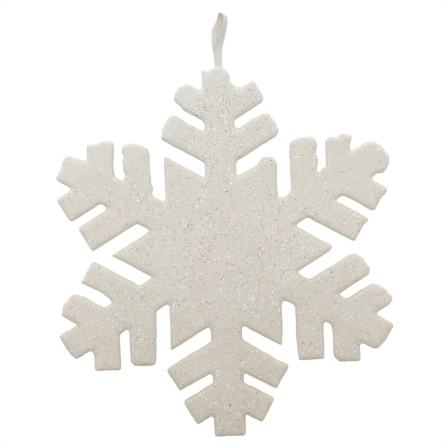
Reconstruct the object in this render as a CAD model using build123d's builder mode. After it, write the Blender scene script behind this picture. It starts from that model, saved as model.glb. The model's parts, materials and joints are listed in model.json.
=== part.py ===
"""Hanging glitter snowflake: a thick foam cut-out with a glitter coat on each face, hung from a ribbon loop.

Millimetres. +Z is up, and the flake faces -Y. The origin is the point under the top of the ribbon loop
where a hook bears, straight above the flake's centre.
"""

import os
from math import cos, radians, sin, tan

from build123d import *

os.makedirs("parts", exist_ok=True)

# ---- driving dimensions ----------------------------------------------------------------------
SPAN = 300.0  # tip to opposite tip
THICKNESS = 12.0  # of the foam sheet
EDGE_RADIUS = 1.0  # where each face turns over into the cut edge
HANG_TILT = 2.1  # degrees: the ribbon sits beside the arm's axis, so the flake hangs a little turned
CENTRE_DROP = 193.7  # hook down to the flake's centre

ARM_TURN = 60.0  # from one arm to the next
STAR_RADIUS = 91.2  # the six points between the arms
STEM_WIDTH = 25.4
BRANCH_TURN = 60.0  # between a branch and its arm's outward direction
INNER_ROOT, INNER_WIDTH, INNER_LENGTH = 78.2, 22.3, 51.4  # along the arm, across, from the arm's axis
OUTER_ROOT, OUTER_WIDTH, OUTER_LENGTH = 112.0, 22.0, 36.8
BULB_ARM, BULB_PLACE, BULB_RADIUS = 5, 139.0, 15.6  # the swollen, rounded tip of one arm
SHARPEST_CORNER = 0.6  # of an inset outline

COAT = 0.35  # dried glue on a face
COAT_MARGIN = 1.2  # the coat stops this far inside the outline
FLAKE_WIDTH, FLAKE_THICKNESS = 1.4, 0.12  # one hexagonal glitter flake
SCATTER_COUNT = 420  # places tried for a flake on each face
SCATTER_CROWDING = 0.6  # 0.5 spreads the flakes evenly, and more crowds them towards the centre
GOLDEN_ANGLE = 137.508
BACK_SCATTER_TURN = 40.0  # so that the two faces differ

RIBBON_WIDTH, RIBBON_THICKNESS = 6.0, 0.3
LAYER_OFFSET = 0.3  # from the middle out to each of the two layers, where they lie together
RIBBON_SIDE = 1.25  # the ribbon's middle from the arm's axis, at the tip
NECK_TOP = -34.0  # where the two ends of the loop come together
JOINT_GAP = 0.3  # left clear where the ribbon twists
BEND_GAP = 0.6  # left clear where the ribbon bends
TAIL_LENGTH = 18.0  # ribbon buried in the tip
ARC_SHARE = 0.45  # of the shorter run, taken up by the arc that joins two runs

SLIT_WIDTH, SLIT_THICKNESS, SLIT_DEPTH = 8.5, 3.0, 20.0  # in the tip, for the tails and the glue
BEAD_WIDTH, BEAD_THICKNESS, BEAD_HEIGHT = 14.0, 8.0, 1.0  # glue standing proud of the slit
BEAD_SLOPE = 50.0  # of the bead's sides, from upright

# The ribbon loop from its front end up, over the hook and down to its back end. The front leg hangs
# nearly straight and the back leg stands off to the left of it.
LOOP_ROUTE = (
    (-4.3, -0.3, -34.0),
    (-4.3, -0.3, -28.5),
    (-3.6, -2.2, -21.0),
    (-1.9, -5.0, -13.5),
    (-0.4, -6.7, -6.6),
    (-0.7, -4.5, -1.4),
    (-1.4, 0.0, 0.6),
    (-2.5, 4.6, -1.4),
    (-4.4, 6.8, -6.6),
    (-6.9, 5.2, -13.5),
    (-7.5, 2.4, -21.5),
    (-4.9, 0.3, -29.0),
    (-4.9, 0.3, -34.0),
)

# Corner radius of each blade's end, one row for each arm, starting with the upright one and going
# anticlockwise as seen from the front: tip, then inner and outer branch on the anticlockwise side,
# then inner and outer branch on the clockwise side.
CORNERS = (
    (3.0, 5.0, 8.0, 7.0, 5.0),
    (3.0, 1.5, 1.5, 3.0, 3.5),
    (1.5, 1.5, 2.0, 2.0, 1.5),
    (2.0, 2.0, 2.0, 2.0, 2.0),
    (2.0, 5.0, 6.0, 2.0, 2.0),
    (8.0, 6.0, 4.5, 2.0, 2.0),
)
# How much further than drawn the blades of each arm reach, in the same order.
REACH = (
    (0.0, 0.0, 1.5, 1.0, 1.5),
    (0.0, 0.0, 0.0, 0.0, 0.0),
    (0.0, 0.0, 0.5, 0.0, 0.0),
    (0.0, 0.0, 0.0, 0.0, 0.0),
    (0.0, 2.5, 2.5, 0.0, 0.0),
    (3.0, 0.0, 0.0, 0.0, 0.0),
)

TIP = SPAN / 2
tilt = radians(HANG_TILT)


# ---- frames of reference ---------------------------------------------------------------------
def face_plane(depth):
    """The flake's own plane, x across and y up its first arm, at this depth behind the sheet's middle."""
    return Plane(
        origin=(0, depth, -CENTRE_DROP),
        x_dir=(cos(tilt), 0, sin(tilt)),
        z_dir=(0, -1, 0),
    )


def tip_plane():
    """Across the end face of the first arm, where the ribbon leaves it, facing out along the arm."""
    return Plane(
        origin=face_plane(0).from_local_coords((RIBBON_SIDE, TIP, 0)),
        x_dir=(cos(tilt), 0, sin(tilt)),
        z_dir=(-sin(tilt), 0, cos(tilt)),
    )


# ---- outline ---------------------------------------------------------------------------------
def blade(length, width, corner):
    """One straight blade with rounded corners, from the point where it stands, along x."""
    with Locations((length / 2, 0)):
        RectangleRounded(length, width, corner)


def arm_outline(arm, inset):
    """A stem and its four branches, along x."""
    corners = [max(r - inset, SHARPEST_CORNER) for r in CORNERS[arm]]
    reach = [r - inset for r in REACH[arm]]
    blade(TIP + reach[0], STEM_WIDTH - 2 * inset, corners[0])
    if arm == BULB_ARM:
        with Locations((BULB_PLACE, 0)):
            Circle(BULB_RADIUS - inset)
    number = 1
    for side in (1, -1):
        for root, width, length in (
            (INNER_ROOT, INNER_WIDTH, INNER_LENGTH),
            (OUTER_ROOT, OUTER_WIDTH, OUTER_LENGTH),
        ):
            with Locations(Location((root, 0), side * BRANCH_TURN)):
                blade(length + reach[number], width - 2 * inset, corners[number])
            number += 1


def snowflake_outline(inset=0.0):
    """The star and its six arms, with every blade narrower and shorter by the inset on each side."""
    with BuildSketch() as outline:
        for turn in (0, ARM_TURN):
            RegularPolygon(STAR_RADIUS - 2 * inset, 3, rotation=turn)
        for arm in range(6):
            with Locations(Location((0, 0), 90 + ARM_TURN * arm)):
                arm_outline(arm, inset)
    return outline.sketch


# ---- foam ------------------------------------------------------------------------------------
whole = snowflake_outline()
with BuildPart() as foam_snowflake:
    with BuildSketch(face_plane(0)):
        add(whole)
    extrude(amount=THICKNESS / 2, both=True)
    rims = foam_snowflake.faces().filter_by(Axis.Y).edges()
    fillet(rims, EDGE_RADIUS)
    with BuildSketch(tip_plane()):
        Rectangle(SLIT_WIDTH, SLIT_THICKNESS)
    extrude(amount=-SLIT_DEPTH, mode=Mode.SUBTRACT)
foam_snowflake.part.label = "foam_snowflake"
export_step(foam_snowflake.part, "parts/foam_snowflake.step")


# ---- glue coats and glitter --------------------------------------------------------------------
coated = snowflake_outline(COAT_MARGIN)


def scatter(turn):
    """Places for flakes, wound out from the centre by the golden angle and kept where there is coat."""
    room = offset(coated.face(), -FLAKE_WIDTH, mode=Mode.PRIVATE)
    places = []
    for n in range(1, SCATTER_COUNT):
        out = TIP * (n / SCATTER_COUNT) ** SCATTER_CROWDING
        angle = radians(n * GOLDEN_ANGLE + turn)
        place = Vector(out * cos(angle), out * sin(angle))
        if any(face.is_inside(place) for face in room.faces()):
            places.append(Location((place.X, place.Y), n * GOLDEN_ANGLE))
    return places


def coat_and_glitter(side, name, turn):
    """The glue coat of one face, with flakes bedded flush in it: side is -1 for the front and 1 for the back."""
    surface = side * THICKNESS / 2
    with BuildPart() as flakes:
        with BuildSketch(face_plane(surface + side * COAT)):
            with Locations(*scatter(turn)):
                RegularPolygon(FLAKE_WIDTH / 2, 6)
        extrude(amount=side * FLAKE_THICKNESS)
    flakes.part.label = name + "_glitter"
    export_step(flakes.part, f"parts/{flakes.part.label}.step")
    with BuildPart() as glue:
        with BuildSketch(face_plane(surface)):
            add(coated)
        extrude(amount=-side * COAT)
        add(flakes.part, mode=Mode.SUBTRACT)
    glue.part.label = name + "_glue_coat"
    export_step(glue.part, f"parts/{glue.part.label}.step")
    depths = flakes.part.bounding_box()
    print(name, "flakes", len(flakes.solids()), "coats", len(glue.solids()), depths.min.Y, depths.max.Y)


coat_and_glitter(-1, "front", 0)
coat_and_glitter(1, "back", BACK_SCATTER_TURN)


# ---- ribbon ----------------------------------------------------------------------------------
def arc_radii(route):
    """For each corner of a route, the radius of an arc that takes up its share of the shorter run."""
    points = [Vector(p) for p in route]
    radii = []
    for a, b, c in zip(points, points[1:], points[2:]):
        turn = radians((b - a).get_angle(c - b))
        radii.append(ARC_SHARE * min((b - a).length, (c - b).length) / tan(turn / 2))
    return radii


with BuildPart() as ribbon_loop:
    with BuildLine() as route:
        FilletPolyline(*LOOP_ROUTE, radius=arc_radii(LOOP_ROUTE))
    with BuildSketch(Plane(origin=LOOP_ROUTE[0], x_dir=(1, 0, 0), z_dir=route.line % 0)):
        Rectangle(RIBBON_WIDTH, RIBBON_THICKNESS)
    sweep()
ribbon_loop.part.label = "ribbon_loop"
export_step(ribbon_loop.part, "parts/ribbon_loop.step")
print("ribbon loop", round(route.wires()[0].length, 1), "arcs", [round(r, 1) for r in arc_radii(LOOP_ROUTE)])
print("volume", ribbon_loop.part.volume, route.wires()[0].length * RIBBON_WIDTH * RIBBON_THICKNESS)


def two_layers(plane, length):
    """The ribbon's two ends lying together, from a plane down for this length."""
    with BuildSketch(plane) as layers:
        with Locations((0, -LAYER_OFFSET), (0, LAYER_OFFSET)):
            Rectangle(RIBBON_WIDTH, RIBBON_THICKNESS)
    extrude(layers.sketch, amount=-length)


tip = tip_plane()
pivot = tip.origin + tip.z_dir * (BEAD_HEIGHT + BEND_GAP)
neck_top = NECK_TOP - JOINT_GAP
with BuildPart() as ribbon_neck:
    two_layers(Plane.XY.offset(neck_top).shift_origin((pivot.X, 0, neck_top)), neck_top - pivot.Z)
ribbon_neck.part.label = "ribbon_neck"
export_step(ribbon_neck.part, "parts/ribbon_neck.step")

with BuildPart() as ribbon_tails:
    two_layers(tip.offset(BEAD_HEIGHT), TAIL_LENGTH + BEAD_HEIGHT)
ribbon_tails.part.label = "ribbon_tails"
export_step(ribbon_tails.part, "parts/ribbon_tails.step")

# ---- hot glue --------------------------------------------------------------------------------
with BuildPart() as hot_glue_plug:
    with BuildSketch(tip):
        Rectangle(SLIT_WIDTH, SLIT_THICKNESS)
    extrude(amount=-SLIT_DEPTH)
    with BuildSketch(tip):
        Ellipse(BEAD_WIDTH / 2, BEAD_THICKNESS / 2)
    extrude(amount=BEAD_HEIGHT, taper=BEAD_SLOPE)
    add(ribbon_tails.part, mode=Mode.SUBTRACT)
hot_glue_plug.part.label = "hot_glue_plug"
export_step(hot_glue_plug.part, "parts/hot_glue_plug.step")

print("bend axis at", pivot, "outline area", whole.area)
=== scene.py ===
"""Looks of the hanging glitter snowflake: foam cut-out, glue coats, glitter, satin ribbon and hot glue.

Metres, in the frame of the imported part: +Z up as it hangs, -Y out of the front, and the origin under
the fold of the ribbon.
"""

import json
from math import cos, pi, radians, sin

import bmesh
import bpy
import numpy as np
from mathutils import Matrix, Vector, noise
from mathutils.bvhtree import BVHTree


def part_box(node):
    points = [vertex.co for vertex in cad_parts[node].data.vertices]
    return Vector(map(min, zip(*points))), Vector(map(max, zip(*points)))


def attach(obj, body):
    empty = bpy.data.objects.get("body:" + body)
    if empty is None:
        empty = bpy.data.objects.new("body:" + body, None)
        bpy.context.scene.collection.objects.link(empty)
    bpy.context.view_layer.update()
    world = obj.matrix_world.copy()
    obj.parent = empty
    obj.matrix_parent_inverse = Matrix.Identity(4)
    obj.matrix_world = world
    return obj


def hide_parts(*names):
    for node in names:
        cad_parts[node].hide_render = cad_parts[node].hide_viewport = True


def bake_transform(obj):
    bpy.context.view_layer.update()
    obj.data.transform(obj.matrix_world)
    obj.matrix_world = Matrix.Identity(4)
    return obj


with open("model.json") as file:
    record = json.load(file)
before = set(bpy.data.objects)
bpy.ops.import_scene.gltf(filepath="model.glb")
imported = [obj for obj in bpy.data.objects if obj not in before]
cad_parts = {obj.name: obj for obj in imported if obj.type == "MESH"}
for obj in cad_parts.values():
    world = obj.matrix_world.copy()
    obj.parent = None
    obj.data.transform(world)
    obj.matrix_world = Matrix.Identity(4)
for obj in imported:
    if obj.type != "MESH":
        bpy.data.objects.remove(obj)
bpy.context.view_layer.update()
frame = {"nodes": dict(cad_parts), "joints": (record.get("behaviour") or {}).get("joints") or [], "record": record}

MM = 0.001

# ---- places read from the frame -----------------------------------------------------------------
mounts = {m["name"]: m for m in frame["record"]["mounts"]}
joints = {j["name"]: j for j in frame["joints"]}
TWIST = Vector(joints["ribbon_twist"]["pos_m"])
BEND = Vector(joints["ribbon_bend"]["pos_m"])
foam_low, foam_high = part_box("foam_snowflake")
HALF_SHEET = foam_high.y
CENTRE = Vector((0, 0, mounts["back_face"]["pos_m"][2]))  # of the flake, in mid-sheet
TILT = radians(2.1)  # the flake hangs turned by this much, leaning left as seen from the front
ACROSS = Vector((cos(TILT), 0, sin(TILT)))
ALONG = Vector((-sin(TILT), 0, cos(TILT)))  # up the upright arm

# ---- sizes --------------------------------------------------------------------------------------
VIEW_WIDTH = 363.0 * MM  # what the picture spans at the flake's front
VIEW_CENTRE = Vector((0.3 * MM, -HALF_SHEET, -171.4 * MM))
VIEW_DISTANCE = 1.6
FLOOR_DROP = 0.65  # below the flake
FLOOR_RADIUS = 5.4
# Each light's name, place, width, power in watts and colour.
LIGHTS = (
    ("top_light", (-0.5, -0.6, 0.75), 0.7, 1.4, (0.98, 0.99, 1.0)),
    ("left_glint", (-0.55, -1.1, 0.15), 0.3, 0.3, (1.0, 0.99, 0.97)),
    ("right_glint", (0.50, -1.2, 0.05), 0.3, 0.25, (1.0, 0.99, 0.97)),
)

FOAM_GRAIN = 1.2 * MM  # spacing of the foam's surface points
GLUE_GRAIN = 0.35 * MM
FOAM_RELAX, GLUE_RELAX = (2, 0.5), (6, 0.6)  # rounds of smoothing, and the share of the way in each
RIM = 3.2 * MM  # how far the faces turn over into the cut edge
LOWER_EDGE_SHADE_REACH = 6.0 * MM  # how far in from a lower edge its painted shade, a brownish darkening, reaches
WALL_DEPTH = 3.0 * MM  # a depth where the cut edge is clear of the slit for the ribbon
ON_WALL = 0.2 * MM  # nearer than this, the way in is taken from the wall
WAVES = (11 * MM, 0.45 * MM)  # of the outline: how far apart, and how large
SCUFFS = (3.4 * MM, 0.16 * MM, 0.22 * MM)  # the same, and how much larger they are near the top
SCUFFED_FROM, SCUFFED_TO = 20 * MM, 90 * MM  # above the flake's centre, where they grow
SWELLS = (16 * MM, 0.22 * MM)  # of the faces
PITS = (2.8 * MM, 0.10 * MM)
FACE_FROM, FACE_TO = 3 * MM, 5 * MM  # out from mid-sheet, where the swells and the pits grow
SINK = 0.2 * MM  # of the faces, so that the swells stay inside the sheet
DRIFT_SHIFT = np.array((17.3, 5.1, 41.9))  # sets apart the noises that push across and up

COAT_EDGE = 1.2 * MM  # the glue stops about this far from the outline
COAT_EDGE_WAVES = (9 * MM, 0.8 * MM)
COAT_EDGE_NICKS = (2.2 * MM, 0.35 * MM)
COAT_RISE = 0.15 * MM  # of the glue film over the foam
COAT_BRUSH_MARKS = (5 * MM, 0.04 * MM)
COAT_TUCK, COAT_BED = 0.03 * MM, 0.10 * MM  # its edge and its underside, below the foam's surface
COAT_TAPER = 4 * MM  # how wide its thinning edge is
COAT_DROP = 1.2 * MM  # how far down from the face it may run

FLAKE_THICKNESS = 0.06 * MM
FLAKE_STAND = 0.05 * MM  # of a flake's middle above the glue
# Each grade's name, its smallest and largest radius, and how far its flakes tip.
COARSE_FLAKES = ("coarse", 0.27 * MM, 0.46 * MM, 0.20)
FINE_FLAKES = ("fine", 0.17 * MM, 0.31 * MM, 0.34)
FRONT_COUNTS, BACK_COUNTS = (8400, 9800), (6400, 7200)  # of coarse and fine flakes
SEED = 20
MIDDLE_GLITTER, RIM_LOSS = 1.05, 0.45  # how thickly it lies in the middle, and how much less far out
RIM_LOSS_FROM, RIM_LOSS_TO = 50 * MM, 110 * MM  # from the flake's centre
CLUMP_SIZE, CLUMP_LEAST, CLUMP_EXTRA = 9 * MM, 0.45, 1.1

RIBBON_WIDTH, RIBBON_THICKNESS = 6.0 * MM, 0.22 * MM
RIBBON_COLUMNS = 31  # of points across the ribbon
RIBBON_WAVER = (1.3 * MM, 0.02)  # of its width: how far apart, and what share
SELVEDGE = (0.90, 0.95, 0.25)  # where its edge starts to thicken, where it ends, and by what share
THREAD_RADIUS = 0.16 * MM
ROOT_SIDE = -1.25  # the ribbon's root from the upright arm's middle, in millimetres towards its left
TIP_ALONG, TAIL_ALONG = 150, 141  # the flake's tip, and a place inside the slit, in millimetres out
ROOT_GATHER = 0.4  # the share of their sideways distance that the two layers keep at the root
ROOT_BEND_RISE, ROOT_RISE = 4 * MM, 2 * MM  # of the places it passes, above the bend and above the tip
TWIST_ZONE = (-15 * MM, -33.8 * MM)  # heights about the twist and the bend; make_ribbon reads them but does not use them
BEND_ZONE = (-37.5 * MM, -43.6 * MM)

# The ribbon loop from its front end up, over the hook and down to its back end.
LOOP_ROUTE = (
    (-0.0043, -0.0003, -0.0340),
    (-0.0043, -0.0003, -0.0290),
    (-0.0030, -0.0020, -0.0230),
    (-0.0008, -0.0046, -0.0160),
    (0.0011, -0.0062, -0.0085),
    (0.0014, -0.0052, -0.0034),
    (0.0000, -0.0026, -0.0010),
    (-0.0013, 0.0006, -0.0004),
    (-0.0015, 0.0042, -0.0014),
    (-0.0018, 0.0062, -0.0066),
    (-0.0051, 0.0054, -0.0132),
    (-0.0064, 0.0026, -0.0215),
    (-0.0057, 0.0004, -0.0290),
    (-0.0050, 0.0003, -0.0340),
)

# How the ribbon lies along the loop, as (share of the loop's length, value). The lean out of level is
# in degrees: the front leg is turned nearly edge-on, and the back leg shows its face. The cup across,
# the pleats and the curl are in millimetres. The spread is a share of RIBBON_WIDTH, because the ribbon
# is pleated at the neck and opens out in the loop.
RIBBON_LEAN = (
    (0, 0),
    (0.08, 8),
    (0.16, 20),
    (0.24, 40),
    (0.32, 56),
    (0.40, 58),
    (0.45, 44),
    (0.50, 18),
    (0.55, 2),
    (0.60, -8),
    (0.70, -14),
    (0.85, -10),
    (1, 0),
)
RIBBON_CUP = ((0, 0), (0.18, 0.4), (0.38, 0.3), (0.5, -0.4), (0.62, 0.6), (0.85, 0.6), (1, 0))
RIBBON_SPREAD = (
    (0, 1),
    (0.2, 1.05),
    (0.42, 1),
    (0.5, 0.96),
    (0.58, 1.2),
    (0.68, 1.5),
    (0.8, 1.4),
    (0.92, 1.15),
    (1, 1),
)
RIBBON_PLEAT = (
    (-0.1, 0.25),
    (0, 0.34),
    (0.2, 0.26),
    (0.4, 0.06),
    (0.6, 0.08),
    (0.8, 0.30),
    (1, 0.34),
    (1.1, 0.25),
)
RIBBON_CURL = ((0, 0), (0.25, 0.3), (0.5, 0.1), (0.75, 0.5), (1, 0))
PLEATS = ((0.22, 0.13, 1.0), (-0.48, 0.11, 0.7))  # place across from -1 to 1, how wide, and how deep

# A thread that has come loose from the front leg's edge, from its root to its end.
LOOSE_THREAD = ((0.0022, -0.0064, -0.0088), (0.0032, -0.0066, -0.0091), (0.0040, -0.0065, -0.0089))

# ---- colours ------------------------------------------------------------------------------------
# Of the flake at its top, its middle and its bottom: its own colour with painted shade, lighter at the top and
# darker and warmer below as the light falls from above.
FOAM_COLOURS_AND_SHADE = ((0.753, 0.76, 0.73), (0.75, 0.715, 0.655), (0.618, 0.572, 0.49))
GLUE_COLOURS_AND_SHADE = ((0.742, 0.717, 0.677), (0.734, 0.694, 0.63), (0.599, 0.553, 0.469))
# painted shade: a brownish darkening along the lower-facing edges
LOWER_EDGE_SHADE = (0.975, 0.95, 0.89, 1)
SELVEDGE_COLOUR = (0.75, 0.75, 0.72, 1)
# painted shade: a warm darkening on the inner face of the loop's back leg, where the loop shades itself
LOOP_SHADE_TINGE = (0.99, 0.935, 0.85, 1)
LOOP_SHADE_PLACE = (-3.6 * MM, 4 * MM, -11 * MM)
LOOP_SHADE_CORE, LOOP_SHADE_REACH = 5 * MM, 13 * MM

# ---- small tools --------------------------------------------------------------------------------
def flake_place(along, across, arm=0):
    """(u, v) in the flake's plane, from millimetres out along an arm and to its anticlockwise side."""
    turn = radians(90 + 60 * arm)
    out = np.array((cos(turn), sin(turn)))
    side = np.array((-sin(turn), cos(turn)))
    return (along * out + across * side) * MM


def to_flake(points):
    """(u, v, depth) of points given in the row's frame."""
    offset = points - np.array(CENTRE)
    return np.column_stack((offset @ np.array(ACROSS), offset @ np.array(ALONG), offset[:, 1]))


def from_flake(points):
    """Points in the row's frame from (u, v, depth)."""
    plane = np.outer(points[:, 0], ACROSS) + np.outer(points[:, 1], ALONG)
    return plane + np.outer(points[:, 2], (0, 1, 0)) + np.array(CENTRE)


def smooth_step(low, high, value):
    t = np.clip((value - low) / (high - low), 0, 1)
    return t * t * (3 - 2 * t)


def coordinates(mesh):
    flat = np.empty(len(mesh.vertices) * 3)
    mesh.vertices.foreach_get("co", flat)
    return flat.reshape(-1, 3)


def vertex_normals(mesh):
    flat = np.empty(len(mesh.vertices) * 3)
    mesh.vertex_normals.foreach_get("vector", flat)
    return flat.reshape(-1, 3)


def lumps(points, size):
    """Smooth noise from about -1 to 1 at each point, with bumps about this far apart."""
    return np.array([noise.noise(Vector(p) / size) for p in points])


def drift(points, size):
    """A smoothly varying push at each point, level with the sheet's faces."""
    push = np.zeros_like(points)
    push[:, 0] = lumps(points + DRIFT_SHIFT * size, size)
    push[:, 2] = lumps(points - DRIFT_SHIFT * size, size)
    return push


def piece(name, mesh, material, body=None):
    """A shown object with this mesh and material, smooth, riding on a body."""
    mesh.materials.clear()
    mesh.materials.append(material)
    mesh.shade_smooth()
    made = bpy.data.objects.new(name, mesh)
    bpy.context.scene.collection.objects.link(made)
    if body:
        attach(made, body)
    return made


def mesh_of(name, points, faces):
    mesh = bpy.data.meshes.new(name)
    mesh.from_pydata([tuple(p) for p in points], [], [tuple(f) for f in faces])
    mesh.update()
    return mesh


def add_values(mesh, name, values):
    """One number for each vertex, for a material to read."""
    attribute = mesh.attributes.new(name, "FLOAT", "POINT")
    attribute.data.foreach_set("value", np.asarray(values, np.float32))


def evaluated_mesh(made):
    """The mesh of an object after its modifiers; the object itself is removed."""
    bpy.context.scene.collection.objects.link(made)
    graph = bpy.context.evaluated_depsgraph_get()
    mesh = bpy.data.meshes.new_from_object(made.evaluated_get(graph))
    bpy.data.objects.remove(made)
    return mesh


def even_mesh(mesh, grain):
    """This mesh made again from even faces about this far across."""
    source = bpy.data.objects.new("source", mesh)
    voxels = source.modifiers.new("voxels", "REMESH")
    voxels.mode = "VOXEL"
    voxels.voxel_size = grain
    return evaluated_mesh(source)


def move_points(mesh, points):
    mesh.vertices.foreach_set("co", points.ravel())
    mesh.update()


# ---- materials ----------------------------------------------------------------------------------
class Shade:
    """A node material, built up in a few lines."""

    def __init__(self, name, **settings):
        self.material = bpy.data.materials.new(name)
        self.material.use_nodes = True
        self.tree = self.material.node_tree
        self.shader = self.tree.nodes["Principled BSDF"]
        for socket, value in settings.items():
            self.shader.inputs[socket.replace("_", " ")].default_value = value

    def node(self, kind, settings=None, **inputs):
        """A node, with its plain settings, and its inputs as numbers or as other nodes' outputs."""
        made = self.tree.nodes.new("ShaderNode" + kind)
        for name, value in (settings or {}).items():
            setattr(made, name, value)
        for name, value in inputs.items():
            socket = made.inputs[name.replace("_", " ")]
            if isinstance(value, bpy.types.NodeSocket):
                self.tree.links.new(value, socket)
            else:
                socket.default_value = value
        return made

    def position(self):
        return self.node("TexCoord").outputs["Object"]

    def noise(self, size, detail=2.0, roughness=0.5):
        """Noise with bumps about this far apart."""
        settings = {"Scale": 1 / size, "Detail": detail, "Roughness": roughness}
        return self.node("TexNoise", Vector=self.position(), **settings).outputs["Fac"]

    def ramp(self, value, *stops):
        """Colours along a value: stops are (place, colour)."""
        made = self.node("ValToRGB", Fac=value)
        elements = made.color_ramp.elements
        while len(elements) < len(stops):
            elements.new(0.5)
        for element, (place, colour) in zip(elements, stops):
            element.position = place
            element.color = (*colour, 1)
        return made.outputs["Color"]

    def span(self, value, low, high, start, end):
        """A value carried from one span to another."""
        ends = {"From_Min": low, "From_Max": high, "To_Min": start, "To_Max": end}
        return self.node("MapRange", Value=value, **ends).outputs["Result"]

    def mix(self, share, a, b, way="MIX"):
        made = self.node("Mix", {"data_type": "RGBA", "blend_type": way})
        for index, value in ((0, share), (6, a), (7, b)):
            if isinstance(value, bpy.types.NodeSocket):
                self.tree.links.new(value, made.inputs[index])
            else:
                made.inputs[index].default_value = value
        return made.outputs[2]

    def maths(self, way, a, b=0.0):
        made = self.node("Math", {"operation": way})
        for index, value in ((0, a), (1, b)):
            if isinstance(value, bpy.types.NodeSocket):
                self.tree.links.new(value, made.inputs[index])
            else:
                made.inputs[index].default_value = value
        return made.outputs[0]

    def attribute(self, name):
        return self.node("Attribute", {"attribute_name": name}).outputs["Fac"]

    def bump(self, *layers):
        """Bumps one over another: layers are (height socket, distance, strength)."""
        normal = None
        for height, distance, strength in layers:
            made = self.node("Bump", Height=height, Distance=distance, Strength=strength)
            if normal:
                self.tree.links.new(normal, made.inputs["Normal"])
            normal = made.outputs["Normal"]
        self.tree.links.new(normal, self.shader.inputs["Normal"])

    def drive(self, socket, value):
        self.tree.links.new(value, self.shader.inputs[socket])


def colour_with_painted_shade(shade, colours, depth):
    """The flake's colour with painted light and shade, and mottling of this depth.

    It is painted lighter and cooler at the top and darker and warmer below, as shade from light that falls from
    above, with a painted brownish shade along its lower edges and faint patches.
    """
    top, middle, bottom = colours
    place = shade.position()
    height = shade.node("SeparateXYZ", Vector=place).outputs["Z"]
    rise = shade.span(height, foam_low.z, foam_high.z, 0.0, 1.0)
    wander = shade.noise(70 * MM, 2.0)
    rise = shade.maths("ADD", rise, shade.span(wander, 0.3, 0.7, -0.12, 0.12))
    # painted shade: the colour darkens and warms from top to bottom, as the light falls from above
    base = shade.ramp(rise, (0.0, bottom), (0.5, middle), (1.0, top))
    patches = shade.noise(24 * MM, 1.0)
    hues = shade.ramp(
        patches,
        (0.30, (0.985, 1.0, 0.97)),
        (0.46, (1.0, 1.0, 1.0)),
        (0.54, (1.0, 1.0, 1.0)),
        (0.68, (1.0, 0.982, 0.972)),
    )
    base = shade.mix(1.0, base, hues, "MULTIPLY")
    # painted shade along the lower-facing edges, as much as the under value says
    painted_edge_shade = shade.mix(1.0, base, LOWER_EDGE_SHADE, "MULTIPLY")
    base = shade.mix(shade.attribute("under"), base, painted_edge_shade)
    mottle = shade.noise(2.4 * MM, 3.0, 0.6)
    shadows = shade.span(mottle, 0.3, 0.7, 1.0 - depth, 1.0 + depth)
    grey = shade.node("CombineXYZ", X=shadows, Y=shadows, Z=shadows).outputs["Vector"]
    return shade.mix(1.0, base, grey, "MULTIPLY")


def foam_material():
    shade = Shade("foam", Roughness=0.86)
    shade.drive("Base Color", colour_with_painted_shade(shade, FOAM_COLOURS_AND_SHADE, 0.035))
    place = shade.position()
    cells = shade.node("TexVoronoi", {"feature": "SMOOTH_F1"}, Vector=place, Scale=1 / (1.3 * MM))
    grain = shade.noise(0.5 * MM, 3.0)
    shade.bump((cells.outputs["Distance"], 0.10 * MM, 0.5), (grain, 0.05 * MM, 0.6))
    return shade.material


def glue_material():
    shade = Shade("glue_coat", Roughness=0.5, Coat_Weight=0.12, Coat_Roughness=0.35)
    shade.drive("Base Color", colour_with_painted_shade(shade, GLUE_COLOURS_AND_SHADE, 0.05))
    shade.drive("Roughness", shade.span(shade.noise(5 * MM, 3.0), 0.3, 0.7, 0.38, 0.66))
    dimples = shade.noise(1.6 * MM, 3.0, 0.6)
    shade.bump((dimples, 0.12 * MM, 0.6), (shade.noise(0.5 * MM), 0.04 * MM, 0.5))
    return shade.material


def glitter_material():
    shade = Shade("glitter", Metallic=0.85, Roughness=0.2)
    # painted reflection: the darkest flakes' base colour stands in for dark surroundings mirrored in them
    tone = shade.ramp(
        shade.attribute("glint"),
        (0.0, (0.05, 0.045, 0.04)),
        (0.09, (0.15, 0.14, 0.12)),
        (0.13, (0.60, 0.57, 0.52)),
        (0.25, (0.81, 0.80, 0.76)),
        (0.55, (0.99, 0.99, 0.97)),
    )
    sheen = shade.ramp(
        shade.attribute("hue"),
        (0.0, (1.0, 0.93, 0.94)),
        (0.3, (1.0, 1.0, 1.0)),
        (0.7, (0.97, 1.0, 0.95)),
        (1.0, (0.94, 0.97, 1.0)),
    )
    shade.drive("Base Color", shade.mix(1.0, tone, sheen, "MULTIPLY"))
    shade.drive("Roughness", shade.span(shade.attribute("hue"), 0.0, 1.0, 0.12, 0.38))
    shade.bump((shade.noise(0.35 * MM, 2.0), 0.02 * MM, 0.4))
    return shade.material


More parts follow.
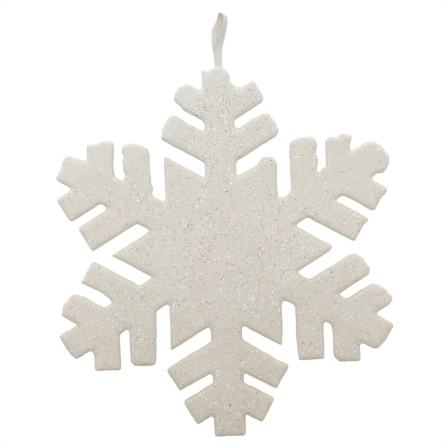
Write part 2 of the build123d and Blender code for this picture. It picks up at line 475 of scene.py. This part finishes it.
def ribbon_material():
    shade = Shade("ribbon", Roughness=0.42, Sheen_Weight=0.2, Sheen_Roughness=0.4, Anisotropic=0.5)
    across = shade.attribute("across")
    along = shade.attribute("along")
    warp = shade.maths("SINE", shade.maths("MULTIPLY", across, 2 * pi * 34))
    weft = shade.maths("SINE", shade.maths("MULTIPLY", along, 2 * pi / (0.28 * MM)))
    threads = shade.maths("ADD", shade.maths("MULTIPLY", warp, 0.7), shade.maths("MULTIPLY", weft, 0.3))
    lengthwise = shade.maths("MULTIPLY", along, 18.0)
    stretched = shade.node("CombineXYZ", X=across, Y=lengthwise).outputs["Vector"]
    streaks = shade.node("TexNoise", Vector=stretched, Scale=9.0, Detail=3.0).outputs["Fac"]
    colour = shade.ramp(
        streaks,
        (0.3, (0.68, 0.68, 0.64)),
        (0.55, (0.74, 0.735, 0.70)),
        (0.75, (0.78, 0.775, 0.74)),
    )
    edge = shade.maths("ABSOLUTE", shade.maths("SUBTRACT", across, 0.5))
    selvedge = shade.span(edge, 0.455, 0.475, 0.0, 1.0)
    colour = shade.mix(selvedge, colour, SELVEDGE_COLOUR)
    # painted shade inside the loop, on its back leg
    offset = shade.node("VectorMath", {"operation": "DISTANCE"}, Vector=shade.position())
    offset.inputs[1].default_value = LOOP_SHADE_PLACE
    loop_shade = shade.span(offset.outputs["Value"], LOOP_SHADE_CORE, LOOP_SHADE_REACH, 1.0, 0.0)
    place = shade.node("SeparateXYZ", Vector=shade.position()).outputs
    loop_shade = shade.maths("MULTIPLY", loop_shade, shade.span(place["Y"], -1 * MM, 2 * MM, 0.25, 1.0))
    colour = shade.mix(loop_shade, colour, shade.mix(1.0, colour, LOOP_SHADE_TINGE, "MULTIPLY"))
    shade.drive("Base Color", colour)
    shade.drive("Roughness", shade.span(streaks, 0.3, 0.7, 0.34, 0.52))
    shade.bump((threads, 0.02 * MM, 0.5), (streaks, 0.10 * MM, 0.5))
    return shade.material


def hot_glue_material():
    shade = Shade("hot_glue", Roughness=0.28, Coat_Weight=0.2)
    cloud = shade.noise(3 * MM, 3.0)
    colour = shade.ramp(cloud, (0.3, (0.735, 0.735, 0.675)), (0.7, (0.74, 0.73, 0.645)))
    shade.drive("Base Color", colour)
    shade.drive("Roughness", shade.span(shade.noise(1.2 * MM), 0.3, 0.7, 0.22, 0.4))
    shade.bump((shade.noise(1.0 * MM, 3.0), 0.08 * MM, 0.5))
    return shade.material


# ---- camera, light and floor --------------------------------------------------------------------
def aim(made, place, target):
    made.location = place
    made.rotation_euler = (Vector(target) - Vector(place)).to_track_quat("-Z", "Y").to_euler()
    bpy.context.scene.collection.objects.link(made)


def make_camera():
    data = bpy.data.cameras.new("camera")
    data.lens = data.sensor_width * VIEW_DISTANCE / VIEW_WIDTH
    camera = bpy.data.objects.new("camera", data)
    aim(camera, VIEW_CENTRE - Vector((0, VIEW_DISTANCE, 0)), VIEW_CENTRE)
    bpy.context.scene.camera = camera


def soft_box(name, place, size, power, colour):
    data = bpy.data.lights.new(name, "AREA")
    data.shape = "DISK"
    data.size = size
    data.energy = power
    data.color = colour
    aim(bpy.data.objects.new(name, data), place, CENTRE)


def make_studio():
    scene = bpy.context.scene
    scene.view_settings.view_transform = "Standard"
    scene.world = bpy.data.worlds.new("studio")
    scene.world.use_nodes = True
    sky = scene.world.node_tree.nodes["Background"]
    sky.inputs["Color"].default_value = (1, 1, 1, 1)
    sky.inputs["Strength"].default_value = 1.0
    for light in LIGHTS:
        soft_box(*light)

    rim = [(FLOOR_RADIUS * cos(a), FLOOR_RADIUS * sin(a)) for a in np.linspace(0, 2 * pi, 97)[:-1]]
    floor_mesh = mesh_of("floor", [(x, y, foam_low.z - FLOOR_DROP) for x, y in rim], [range(len(rim))])
    shade = Shade("floor", Roughness=0.7)
    tone = shade.ramp(shade.noise(0.3), (0.3, (0.56, 0.545, 0.51)), (0.7, (0.59, 0.575, 0.54)))
    shade.drive("Base Color", tone)
    floor = piece("floor", floor_mesh, shade.material)


# ---- ribbon -------------------------------------------------------------------------------------
def smooth_line(points):
    """Points along the NURBS spline that has these control points."""
    curve = bpy.data.curves.new("route", "CURVE")
    curve.dimensions = "3D"
    curve.resolution_u = 12
    spline = curve.splines.new("NURBS")
    spline.points.add(len(points) - 1)
    for control, place in zip(spline.points, points):
        control.co = (*place, 1)
    spline.order_u = 3
    spline.use_endpoint_u = True
    mesh = evaluated_mesh(bpy.data.objects.new("route", curve))
    return coordinates(mesh)


def at(share, *stops):
    """A value along the ribbon: stops are (share of the loop's length, value)."""
    return np.interp(share, *zip(*stops))


def satin_grid(line, share):
    """The ribbon's middle surface, its half thickness and its way out, in rows across the ribbon."""
    tangent = np.gradient(line, axis=0)
    tangent /= np.linalg.norm(tangent, axis=1)[:, None]
    level = np.array((1.0, 0, 0)) - tangent[:, :1] * tangent
    level /= np.linalg.norm(level, axis=1)[:, None]
    outward = np.cross(tangent, level)
    lean = at(share, *RIBBON_LEAN) * pi / 180
    width = level * np.cos(lean)[:, None] + outward * np.sin(lean)[:, None]
    normal = np.cross(tangent, width)

    t = np.linspace(-1, 1, RIBBON_COLUMNS)
    half_width = RIBBON_WIDTH / 2 * at(share, *RIBBON_SPREAD)
    spacing, share_of_width = RIBBON_WAVER
    half_width *= 1 + share_of_width * np.sin(line[:, 2] / spacing)
    cup = at(share, *RIBBON_CUP) * MM
    pleat = at(share, *RIBBON_PLEAT) * MM
    folds = sum(deep * np.exp(-(((t - middle) / wide) ** 2)) for middle, wide, deep in PLEATS)
    bow = np.outer(cup, 0.5 - t**2) - np.outer(pleat, folds)
    curl = np.outer(at(share, *RIBBON_CURL) * MM, np.abs(t) ** 6)
    reach = (half_width[:, None] * t)[:, :, None]
    place = line[:, None] + width[:, None] * reach + normal[:, None] * (bow - curl)[:, :, None]
    start, end, thickening = SELVEDGE
    half = RIBBON_THICKNESS / 2 * (1 + thickening * smooth_step(start, end, np.abs(t)))
    return place, normal[:, None] * half[None, :, None]


def closed_strip(place, lift):
    """Points and faces of a closed strip with this middle surface."""
    rows, columns = place.shape[:2]
    points = np.concatenate(((place + lift).reshape(-1, 3), (place - lift).reshape(-1, 3)))
    top = np.arange(rows * columns).reshape(rows, columns)
    under = top + rows * columns
    faces = []
    for i in range(rows - 1):
        for j in range(columns - 1):
            faces.append((top[i, j], top[i, j + 1], top[i + 1, j + 1], top[i + 1, j]))
            faces.append((under[i, j], under[i + 1, j], under[i + 1, j + 1], under[i, j + 1]))
        faces.append((top[i, 0], top[i + 1, 0], under[i + 1, 0], under[i, 0]))
        faces.append((top[i, -1], under[i, -1], under[i + 1, -1], top[i + 1, -1]))
    for j in range(columns - 1):
        faces.append((top[0, j], under[0, j], under[0, j + 1], top[0, j + 1]))
        faces.append((top[-1, j], top[-1, j + 1], under[-1, j + 1], under[-1, j]))
    return points, np.array(faces)


def thread(line):
    """A thread along a line, as points and faces of a closed thin tube."""
    ring = np.array([(cos(a), sin(a)) for a in (0, 2 * pi / 3, 4 * pi / 3)]) * THREAD_RADIUS
    points = (line[:, None] + np.array([(0, x, z) for x, z in ring])).reshape(-1, 3)
    faces = [(0, 2, 1), tuple(len(points) - 3 + i for i in range(3))]
    for n in range(len(line) - 1):
        for i in range(3):
            j = (i + 1) % 3
            faces.append((3 * n + i, 3 * n + j, 3 * n + 3 + j, 3 * n + 3 + i))
    return points, faces


def satin_piece(name, strips, satin, extra=()):
    """One piece of several strips of the ribbon, with the values that the satin material reads."""
    points, faces, values = [], [], []
    start = 0
    t = np.linspace(0, 1, RIBBON_COLUMNS)
    for place, lift, run in strips:
        made, sides = closed_strip(place, lift)
        points.append(made)
        faces.extend(tuple(f + start) for f in sides)
        across = np.tile(t, len(run))
        along = np.repeat(run, RIBBON_COLUMNS)
        values.append(np.column_stack((np.tile(across, 2), np.tile(along, 2))))
        start += len(made)
    for made, sides in extra:
        points.append(made)
        faces.extend(tuple(v + start for v in f) for f in sides)
        values.append(np.zeros((len(made), 2)))
        start += len(made)
    mesh = mesh_of(name, np.concatenate(points), faces)
    values = np.concatenate(values)
    add_values(mesh, "across", values[:, 0])
    add_values(mesh, "along", values[:, 1])
    made = piece(name, mesh, satin)
    mesh.set_sharp_from_angle(angle=radians(50))
    return made


def make_ribbon():
    satin = ribbon_material()
    loop_line = smooth_line(LOOP_ROUTE)
    places = [flake_place(along, ROOT_SIDE) for along in (TIP_ALONG, TAIL_ALONG)]
    tip, inside = from_flake(np.array([[*place, 0] for place in places]))
    tails = []
    for end in (LOOP_ROUTE[0], LOOP_ROUTE[-1]):
        layer = np.array((0, end[1], 0))
        x = TWIST.x + ROOT_GATHER * (end[0] - TWIST.x)
        bend = np.array((x, end[1], BEND.z + ROOT_BEND_RISE))
        above = tip + layer + np.array((0, 0, ROOT_RISE))
        tails.append(smooth_line((end, bend, above, tip + layer, inside + layer)))
    line = np.concatenate((tails[0][:0:-1], loop_line, tails[1][1:]))
    first, last = len(tails[0]) - 1, len(tails[0]) + len(loop_line) - 2
    run = np.concatenate(([0], np.cumsum(np.linalg.norm(np.diff(line, axis=0), axis=1))))
    length = run[last] - run[first]
    place, lift = satin_grid(line, (run - run[first]) / length)

    loop_rows, front_rows, back_rows = slice(first, last + 1), slice(0, first + 1), slice(last, None)
    loop_strips = [(place[loop_rows], lift[loop_rows], run[loop_rows])]
    frayed = thread(np.array(LOOSE_THREAD))
    loop = satin_piece("ribbon_loop_satin", loop_strips, satin, [frayed])
    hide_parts("ribbon_loop")
    neck_strips = [(place[rows], lift[rows], run[rows]) for rows in (front_rows, back_rows)]
    neck = satin_piece("ribbon_neck_satin", neck_strips, satin)
    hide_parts("ribbon_neck", "ribbon_tails")

    start, end = ((TWIST.x, 0, height) for height in TWIST_ZONE)
    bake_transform(loop)
    start, end = ((BEND.x, 0, height) for height in BEND_ZONE)
    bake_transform(neck)


# ---- foam ---------------------------------------------------------------------------------------
# What was cut or torn off the even outline, as the corners of each lost piece: the arm, then places in
# millimetres out along that arm and to its anticlockwise side. Some corners are in the air beyond it.
LOST = (
    # the upright arm: crown, then its branches
    (0, (147.3, 20), (147.5, 12), (147, 8), (150.4, 1.5), (153, 1.5), (160, 14)),
    (0, (153, -4), (150, -4), (146, -8), (143.5, -10), (139, -9.5), (136.5, -11), (134.5, -13.5),
        (133, -17), (133, -20.5), (135, -22.5), (138, -29), (133.5, -33), (145, -42), (160, -20)),
    (0, (131, 13.5), (135, 20.5), (137.5, 25.5), (134.5, 30), (145, 36), (150, 13.5)),
    (0, (124.5, 36), (121.5, 33), (116.5, 29.5), (112, 40), (122, 45)),
    (0, (105.5, 45.5), (95, 47), (90, 52), (104, 58)),
    (0, (105, 24.5), (101, 18), (99, 16.5), (98.5, 12.5), (102, 11.5), (106, 12), (105, 17.5)),
    (0, (108.5, -41), (107, -43), (103.5, -46), (100.5, -46.5), (96.5, -49), (93, -50.5),
        (98, -53), (107, -49.5), (109.5, -43)),
    (0, (99.5, -15.5), (99.5, -17.5), (102, -19.5), (104, -23.5), (107, -28), (109, -33),
        (110.5, -36), (113.5, -35), (103.5, -17)),
    # the upper left arm
    (1, (139.8, -23.5), (131.5, -29.5), (128.8, -32), (136, -38), (146, -26)),
    (1, (148.5, -1), (148.5, 11), (145, 13), (146, 20), (158, 20), (158, -1)),
    (1, (151.3, -3.5), (150, -6.5), (148, -9.5), (142, -10.5), (137, -11.5), (134, -11.5),
        (134, -13.5), (137.5, -15.5), (147, -20), (158, -12), (158, -3.5)),
    (1, (120.5, -35.5), (119, -35), (115.5, -27), (111.5, -19), (107, -12.5), (99.5, -12),
        (99.5, -13.5), (105.5, -15.5), (113, -28.5), (119, -39)),
    (1, (112.5, -37), (107, -43), (110, -48), (120, -38)),
    (1, (106.5, -43), (94.5, -46), (88, -46.5), (94, -58), (108, -50)),
    (1, (98.5, -45), (93.5, -45), (90, -41), (85.5, -33), (78, -22), (76, -20), (75, -22.5),
        (88, -47.5), (94.5, -48.5)),
    (1, (101.5, -19), (99, -17.5), (99.5, -12.5), (104, -13.5), (104.5, -17)),
    # the upper right arm
    (5, (116, 32), (122.5, 33), (127.5, 29.5), (128.5, 29.5), (131.5, 30.5), (134, 28.5),
        (137.5, 25), (148, 26), (128, 46), (110, 40)),
    (5, (137.5, 24), (132, 17.5), (131, 15.5), (131.5, 13.5), (139, 13.5), (144, 13.5),
        (148, 12.5), (149, 14.5), (142.5, 21.5)),
    (5, (143, -13.5), (138, -12.5), (134, -13), (133.5, -13.5), (134, -15.5), (136.5, -17),
        (142.5, -16)),
    (5, (91.5, 45.5), (93, 46.5), (96, 46.5), (99.5, 46), (104.5, 44.5), (103.5, 46.5), (93, 51),
        (90, 46.5)),
    (5, (62, 15.5), (62.5, 13), (67.5, 10), (69, 12), (72, 12.5), (70, 15), (64, 16)),
    (5, (75, 38), (74.5, 44), (71.5, 46), (72, 52), (84, 50), (84, 38)),
    (5, (76, -38), (77, -42.5), (77, -44), (73.5, -45), (76.5, -48), (82, -47), (81, -41)),
    # the lower left arm
    (2, (111.5, -41.5), (112, -40), (102.5, -25.5), (100.5, -21), (99, -16.5), (99, -14),
        (106.5, -13.5), (113, -24.5), (117.5, -31), (123, -36.5), (123.5, -38.5), (115.5, -40.5)),
    (2, (123, 38), (121.5, 36.5), (114.5, 25), (110, 17), (107.5, 12.5), (99, 11.5), (99.5, 13.5),
        (102.5, 17), (119.5, 39.5)),
    (2, (98, 48.5), (94.5, 47.5), (90, 40.5), (85.5, 33.5), (78, 21.5), (72, 12), (61.5, 12),
        (62.5, 16.5), (67, 17.5), (93.5, 52)),
    (2, (114.5, 34), (111, 36), (111, 40), (106.5, 42.5), (108, 50), (122, 40)),
    (2, (149, 6), (148.5, 10.5), (143, 11), (139.5, 10.5), (135, 11), (133.5, 12), (134.5, 15),
        (144, 18), (158, 18), (158, 6)),
    # the lower right arm
    (4, (150.5, -1.5), (147.5, -11), (143.5, -13), (143, -18), (158, -18), (158, -1.5)),
    (4, (124.5, -35), (120.5, -34), (116, -31), (114, -40), (124, -42)),
    (4, (63, -15.5), (61.5, -12.5), (65, -11.5), (70, -11.5), (72, -12.5), (74.5, -16.5),
        (73.5, -19), (66, -21)),
    (4, (100.5, -15.5), (99, -12), (103, -11), (106.5, -12.5), (109, -16.5), (112, -21.5),
        (116, -30), (115.5, -31.5), (104, -19)),
    (4, (116, 30.5), (118, 33), (124, 35), (127.5, 35), (131.5, 34.5), (132.5, 38.5), (121, 39),
        (114.5, 33.5)),
    (4, (92, 45), (94, 48.5), (97, 49), (101, 48), (102, 51), (94.5, 52), (91, 48.5)),
    (4, (82, -31), (85, -34.5), (90, -41.5), (93, -45.5), (95.5, -49.5), (95.5, -51.5),
        (92.5, -51.5), (86, -40)),
    (4, (77, -45.5), (77.5, -44.5), (73, -35.5), (74.5, -35), (81, -46), (78.5, -47.5)),
    # the lowest arm
    (3, (112.5, -41), (108.5, -33.5), (103, -23), (98.5, -13.5), (98.5, -12.5), (106.5, -12.5),
        (113, -23.5), (118.5, -33.5), (121, -36.5), (119, -40), (114, -42)),
    (3, (112.5, 38), (108, 27.5), (104.5, 21.5), (99.5, 14), (99.5, 13), (107.5, 12.5),
        (110, 17.5), (117.5, 31.5), (119, 36), (118, 39.5), (114, 40.5)),
    (3, (73.5, 14.5), (79, 23.5), (85, 33.5), (89.5, 39.5), (92.5, 46.5), (92.5, 48.5),
        (84.5, 38.5), (73, 18.5)),
)

# Gentler dents and swellings: the arm, the place, how far round it they reach, and the push out along
# the arm and sideways.
KNOCKS = (
    (0, 129.5, 33.5, 7, 0.4, 0.2),
    (0, 105.0, 26.0, 6, -0.8, 0.2),
    (1, 75.5, -18.0, 3.5, -1.2, 0.0),
    (1, 107.8, -30.4, 3, -1.3, 0.4),
    (1, 107.5, -27.0, 3, 1.1, -0.2),
    (1, 110.5, -33.5, 4, 0.8, 0.0),
    (1, 127.6, -34.0, 4, 0.5, -0.6),
    (5, 106.5, 28.5, 5, -1.2, 0.3),
    (5, 104.3, 22.2, 4, 0.7, 0.0),
    (5, 100.5, 17.0, 4, -0.9, 0.2),
    (5, 104.5, 9.5, 6, 0.5, 3.0),
    (5, 154.0, -7.5, 7, 1.6, 0.0),
    (5, 151.0, -12.0, 6, 0.4, -0.4),
    (5, 138.0, -29.5, 7, 0.8, -1.4),
    (5, 113.0, -39.5, 6, 1.0, -1.5),
    (5, 67.0, 46.8, 6, 0.0, 1.9),
    (2, 133.3, -31.5, 6, 0.8, -1.4),
    (4, 112.0, 43.0, 5, -0.6, 1.8),
    (4, 138.8, 30.5, 7, 0.8, 1.2),
)


def lost_prisms():
    """The lost pieces as prisms right through the sheet."""
    points, faces = [], []
    for arm, *corners in LOST:
        start, count = len(points), len(corners)
        flat = np.array([flake_place(along, across, arm) for along, across in corners])
        for depth in (-2 * HALF_SHEET, 2 * HALF_SHEET):
            points.extend(from_flake(np.column_stack((flat, np.full(count, depth)))))
        faces.append(range(start, start + count))
        faces.append(range(start + 2 * count - 1, start + count - 1, -1))
        for i in range(count):
            j = (i + 1) % count
            faces.append((start + i, start + count + i, start + count + j, start + j))
    mesh = mesh_of("lost", points, faces)
    shell = bmesh.new()
    shell.from_mesh(mesh)
    bmesh.ops.recalc_face_normals(shell, faces=shell.faces)
    shell.to_mesh(mesh)
    shell.free()
    return mesh


def cut_sheet():
    """The frame's even cut-out with the lost pieces taken off."""
    lost = bpy.data.objects.new("lost", lost_prisms())
    bpy.context.scene.collection.objects.link(lost)
    even = bpy.data.objects.new("even", frame["nodes"]["foam_snowflake"].data.copy())
    cut = even.modifiers.new("cut", "BOOLEAN")
    cut.object = lost
    cut.solver = "EXACT"
    cut.use_self = True
    mesh = evaluated_mesh(even)
    bpy.data.objects.remove(lost)
    return mesh


def outline_walls(mesh):
    """The cut edge all round the sheet, for finding how far a point lies from it."""
    points = coordinates(mesh)
    walls = []
    for face in mesh.polygons:
        reach = max(abs(points[v][1]) for v in face.vertices)
        if abs(face.normal.y) < 0.1 and reach > WALL_DEPTH:
            walls.append(face.vertices[:])
    return BVHTree.FromPolygons([Vector(p) for p in points], walls)


def from_outline(points, walls):
    """Each point's distance inside the outline, the nearest place on it, and the way in from there."""
    inset = np.empty(len(points))
    edge = np.empty((len(points), 3))
    inward = np.empty((len(points), 3))
    for n, (x, y, z) in enumerate(points):
        place = Vector((x, WALL_DEPTH, z))
        found, normal, _, distance = walls.find_nearest(place)
        inset[n] = distance
        edge[n] = found
        inward[n] = (place - found) / distance if distance > ON_WALL else -normal
    return inset, edge, inward


def round_rims(points, inset, edge, inward):
    """Turns each face over into the cut edge on a quarter circle."""
    depth = HALF_SHEET - np.abs(points[:, 1])
    near = (depth < RIM) & (inset < RIM)
    turn = np.clip((RIM + depth - inset) / (2 * RIM), 0, 1) * pi / 2
    side = np.sign(points[:, 1])
    rounded = edge + inward * (RIM * (1 - np.sin(turn)))[:, None]
    rounded[:, 1] = side * (HALF_SHEET - RIM * (1 - np.cos(turn)))
    return np.where(near[:, None], rounded, points)


def knock(points):
    """Pushes the outline in and out at each of the knocks."""
    flat = to_flake(points)
    for arm, along, across, reach, push_along, push_across in KNOCKS:
        away = flat[:, :2] - flake_place(along, across, arm)
        share = 1 - (away**2).sum(1) / (reach * MM) ** 2
        weight = np.where(share > 0, share, 0) ** 2
        flat[:, :2] += np.outer(weight, flake_place(push_along, push_across, arm))
    return from_flake(flat)


def relax(mesh, points, rounds, share):
    """Draws each point towards its neighbours, to take off the voxel marks."""
    ends = np.empty(len(mesh.edges) * 2, int)
    mesh.edges.foreach_get("vertices", ends)
    a, b = ends.reshape(-1, 2).T
    count = np.bincount(np.concatenate((a, b)), minlength=len(points))[:, None]
    for _ in range(rounds):
        total = np.zeros_like(points)
        for axis in range(3):
            total[:, axis] = np.bincount(a, points[b, axis], len(points))
            total[:, axis] += np.bincount(b, points[a, axis], len(points))
        points = points + share * (total / count - points)
    return points


def make_foam():
    """The cut-out: its mesh, and each point's distance from the outline and share of painted shade along the lower
    edges.
    """
    sheet = cut_sheet()
    walls = outline_walls(sheet)
    mesh = even_mesh(sheet, FOAM_GRAIN)
    points = coordinates(mesh)
    inset, edge, inward = from_outline(points, walls)
    points = round_rims(points, inset, edge, inward)
    points = relax(mesh, points, *FOAM_RELAX)
    points = knock(points)

    spacing, least, extra = SCUFFS
    roughness = least + extra * smooth_step(SCUFFED_FROM, SCUFFED_TO, to_flake(points)[:, 1])
    flat_drift = drift(points, WAVES[0]) * WAVES[1] + drift(points, spacing) * roughness[:, None]
    swell = lumps(points, SWELLS[0]) * SWELLS[1] + lumps(points, PITS[0]) * PITS[1] - SINK
    points = points + flat_drift
    on_face = smooth_step(FACE_FROM, FACE_TO, np.abs(points[:, 1]))
    points[:, 1] += np.sign(points[:, 1]) * swell * on_face
    move_points(mesh, points)
    # painted shade: how much each point lies on a lower-facing edge, for the brownish darkening there
    under = np.clip(inward[:, 2], 0, 1) * smooth_step(LOWER_EDGE_SHADE_REACH, 0, inset)
    add_values(mesh, "under", under)
    foam = piece("foam_cut_out", mesh, foam_material(), "flake")
    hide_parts("foam_snowflake")
    return mesh, inset, under


# ---- glue coats ---------------------------------------------------------------------------------
# Where the brush missed and the foam is bare: millimetres right of and above the flake's centre, and
# how far round.
MISSED = (
    (-31, 136, 14),
    (-46, 106, 10),
    (-3, 149, 9),
    (-105, 86, 17),
    (-127, 73, 13),
    (-77, 88, 12),
    (110, 100, 9),
)
MISSED_EDGE = (1.3, 0.7)  # shares of how far round, where the bare place begins and is complete
MISSED_WAVES = (5 * MM, 0.3)
BARE = 40 * MM  # more than any place's distance from the outline


def make_coat(side, name, foam, inset, under, glue):
    """A brushed film of dried glue over one face: side is -1 for the front and 1 for the back."""
    points, normals = coordinates(foam), vertex_normals(foam)
    border = COAT_EDGE
    for spacing, size in (COAT_EDGE_WAVES, COAT_EDGE_NICKS):
        border = border + lumps(points, spacing) * size
    places = to_flake(points)[:, :2]
    spacing, size = MISSED_WAVES
    waves = lumps(points, spacing) * size
    for across, up, reach in MISSED:
        away = np.linalg.norm(places - np.array((across, up)) * MM, axis=1)
        border += BARE * smooth_step(*MISSED_EDGE, away / (reach * MM) + waves)
    covered = (inset > border) & (points[:, 1] * side > HALF_SHEET - COAT_DROP)
    corners = np.empty(len(foam.loops), int)
    foam.loops.foreach_get("vertex_index", corners)
    starts = np.empty(len(foam.polygons), int)
    foam.polygons.foreach_get("loop_start", starts)
    sizes = np.empty(len(foam.polygons), int)
    foam.polygons.foreach_get("loop_total", sizes)
    quads = corners[starts[sizes == 4][:, None] + np.arange(4)]
    quads = quads[covered[quads].all(1)]
    used = np.unique(quads)
    renumber = np.full(len(points), -1)
    renumber[used] = np.arange(len(used))
    quads = renumber[quads]

    upright_strokes = points[used] * np.array((1, 1, 0.4))
    spacing, size = COAT_BRUSH_MARKS
    thick = COAT_RISE + lumps(upright_strokes, spacing) * size
    taper = smooth_step(0, COAT_TAPER, inset[used] - border[used])
    rise = thick * taper - COAT_TUCK
    top = points[used] + normals[used] * rise[:, None]
    bottom = points[used] - normals[used] * COAT_BED
    back = quads[:, ::-1] + len(used)
    sides = np.stack((quads, np.roll(quads, -1, axis=1)), axis=2).reshape(-1, 2)
    key = np.sort(sides, axis=1)
    _, first, times = np.unique(key, axis=0, return_index=True, return_counts=True)
    rim = sides[first[times == 1]]
    walls = np.column_stack((rim[:, 1], rim[:, 0], rim[:, 0] + len(used), rim[:, 1] + len(used)))
    faces = np.concatenate((quads, back, walls))
    mesh = mesh_of(name + "_glue_film", np.concatenate((top, bottom)), faces)
    # the painted shade along the lower edges, carried over from the foam
    add_values(mesh, "under", np.tile(under[used], 2))
    coat = piece(name + "_glue_film", mesh, glue, "flake")
    mesh.set_sharp_from_angle(angle=radians(50))
    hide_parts(name + "_glue_coat")
    return top, normals[used]


# ---- glitter ------------------------------------------------------------------------------------
# Where the glitter fell thicker or thinner than elsewhere: millimetres right of and above the flake's
# centre, how far round, and how much thicker.
DRIFTS = (
    (0, 102, 34, 0.9),
    (14, 126, 18, 0.7),
    (-14, 122, 14, 0.7),
    (0, 60, 24, 0.3),
    (36, 17, 22, 0.5),
    (50, -3, 20, 0.9),
    (26, -34, 26, 0.8),
    (-24, -8, 20, 0.5),
    (-19, 30, 24, 0.3),
    (-68, 38, 20, 0.7),
    (-84, -60, 20, 0.5),
    (-65, -72, 18, 0.6),
    (98, -64, 24, 0.6),
    (70, -72, 16, 0.5),
    (0, -130, 26, 0.8),
    (21, -98, 16, 0.6),
    (-35, -98, 18, 0.5),
    (-48, -10, 20, -0.5),
    (9, -56, 22, -0.5),
    (38, -64, 16, -0.4),
    (17, 3, 12, -0.5),
    (-27, 74, 16, -0.3),
    (0, 146, 15, -0.9),
    (-26, 134, 20, -0.8),
    (-32, 104, 16, -0.5),
    (-104, 84, 30, -0.5),
    (-70, 84, 26, -0.4),
    (96, 74, 34, -0.4),
    (118, 68, 24, -0.3),
)


def where_thick(places):
    """How thickly the glitter lies at places (u, v) on the flake."""
    out = np.linalg.norm(places, axis=1)
    thickness = MIDDLE_GLITTER - RIM_LOSS * smooth_step(RIM_LOSS_FROM, RIM_LOSS_TO, out)
    for across, up, reach, extra in DRIFTS:
        share = 1 - ((places - np.array((across, up)) * MM) ** 2).sum(1) / (reach * MM) ** 2
        thickness += extra * np.where(share > 0, share, 0)
    flat = np.column_stack((places, np.zeros(len(places))))
    clumps = CLUMP_LEAST + CLUMP_EXTRA * smooth_step(-0.2, 0.4, lumps(flat, CLUMP_SIZE))
    return np.maximum(thickness, 0.04) * clumps


def make_glitter(side, size, surface, normals, count, material, seed):
    """Thousands of loose six-sided flakes, each lying a little differently in the glue."""
    grade, smallest, largest, tipping = size
    random = np.random.default_rng(seed)
    weight = where_thick(to_flake(surface)[:, :2])
    chosen = random.choice(len(surface), count, p=weight / weight.sum())
    jitter = random.uniform(-0.5, 0.5, (count, 3)) * FOAM_GRAIN
    jitter[:, 1] = 0
    middle = surface[chosen] + jitter + normals[chosen] * FLAKE_STAND
    up = normals[chosen] + random.normal(0, tipping, (count, 3))
    up /= np.linalg.norm(up, axis=1)[:, None]
    first = np.cross(up, random.normal(0, 1, (count, 3)))
    first /= np.linalg.norm(first, axis=1)[:, None]
    second = np.cross(up, first)
    radius = smallest + (largest - smallest) * random.random(count) ** 2

    angles = np.arange(6) * pi / 3
    ring = first[:, None] * np.cos(angles)[:, None] + second[:, None] * np.sin(angles)[:, None]
    ring = ring * radius[:, None, None]
    lift = up[:, None] * FLAKE_THICKNESS / 2
    points = np.concatenate((middle[:, None] + ring + lift, middle[:, None] + ring - lift), axis=1)
    hexagon = [tuple(range(6)), tuple(range(11, 5, -1))]
    hexagon += [(i, i + 6, (i + 1) % 6 + 6, (i + 1) % 6) for i in range(6)]
    faces = [tuple(12 * n + v for v in face) for n in range(count) for face in hexagon]
    name = f"{side}_{grade}_glitter"
    mesh = mesh_of(name, points.reshape(-1, 3), faces)
    # painted reflection: low glint values make the flakes whose colour stands in for mirrored dark surroundings
    add_values(mesh, "glint", np.repeat(random.random(count), 12))
    add_values(mesh, "hue", np.repeat(random.random(count), 12))
    glitter = piece(name, mesh, material, "flake")
    mesh.shade_flat()
    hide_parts(side + "_glitter")


# ---- hot glue -----------------------------------------------------------------------------------
# The glue about the ribbon's root, as overlapping blobs: the place out along the upright arm, to its
# left and in depth, and the half-sizes along, across and in depth, in millimetres.
GLUE_BLOBS = (
    (148.6, -1.2, 0.0, 1.4, 4.4, 3.4),
    (148.7, -3.6, -0.6, 1.1, 2.0, 1.8),
    (148.3, 1.2, 0.8, 1.0, 2.4, 2.2),
    (148.0, -1.4, -3.8, 1.1, 3.2, 1.4),
    (146.2, -1.0, -5.45, 2.6, 3.6, 0.65),
    (144.0, 0.6, -5.6, 2.0, 2.6, 0.45),
    (144.4, -2.9, -5.6, 1.6, 1.7, 0.40),
    (142.0, -1.2, 0.0, 8.5, 3.9, 1.3),
)
GLUE_LUMPS = (1.6 * MM, 0.10 * MM)


def make_hot_glue():
    shell = bmesh.new()
    for along, across, depth, *half_sizes in GLUE_BLOBS:
        ball = bmesh.ops.create_icosphere(shell, subdivisions=4, radius=1.0)["verts"]
        u, v = flake_place(along, across)
        for vert in ball:
            out, side, deep = (part * size * MM for part, size in zip(vert.co, half_sizes))
            vert.co = from_flake(np.array([[u - side, v + out, depth * MM + deep]]))[0]
    mesh = bpy.data.meshes.new("glue_balls")
    shell.to_mesh(mesh)
    shell.free()
    mesh = even_mesh(mesh, GLUE_GRAIN)
    points = relax(mesh, coordinates(mesh), *GLUE_RELAX)
    spacing, size = GLUE_LUMPS
    points = points + vertex_normals(mesh) * (lumps(points, spacing) * size)[:, None]
    move_points(mesh, points)
    glue = piece("hot_glue_blob", mesh, hot_glue_material(), "flake")
    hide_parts("hot_glue_plug")


# ---- the whole ----------------------------------------------------------------------------------
make_camera()
make_ribbon()
make_studio()
foam_mesh, foam_inset, foam_edge_shade = make_foam()
make_hot_glue()
glue = glue_material()
silver = glitter_material()
for side, name, counts in ((-1, "front", FRONT_COUNTS), (1, "back", BACK_COUNTS)):
    surface, normals = make_coat(side, name, foam_mesh, foam_inset, foam_edge_shade, glue)
    for seed, (size, count) in enumerate(zip((COARSE_FLAKES, FINE_FLAKES), counts)):
        make_glitter(name, size, surface, normals, count, silver, SEED + seed + 10 * side)
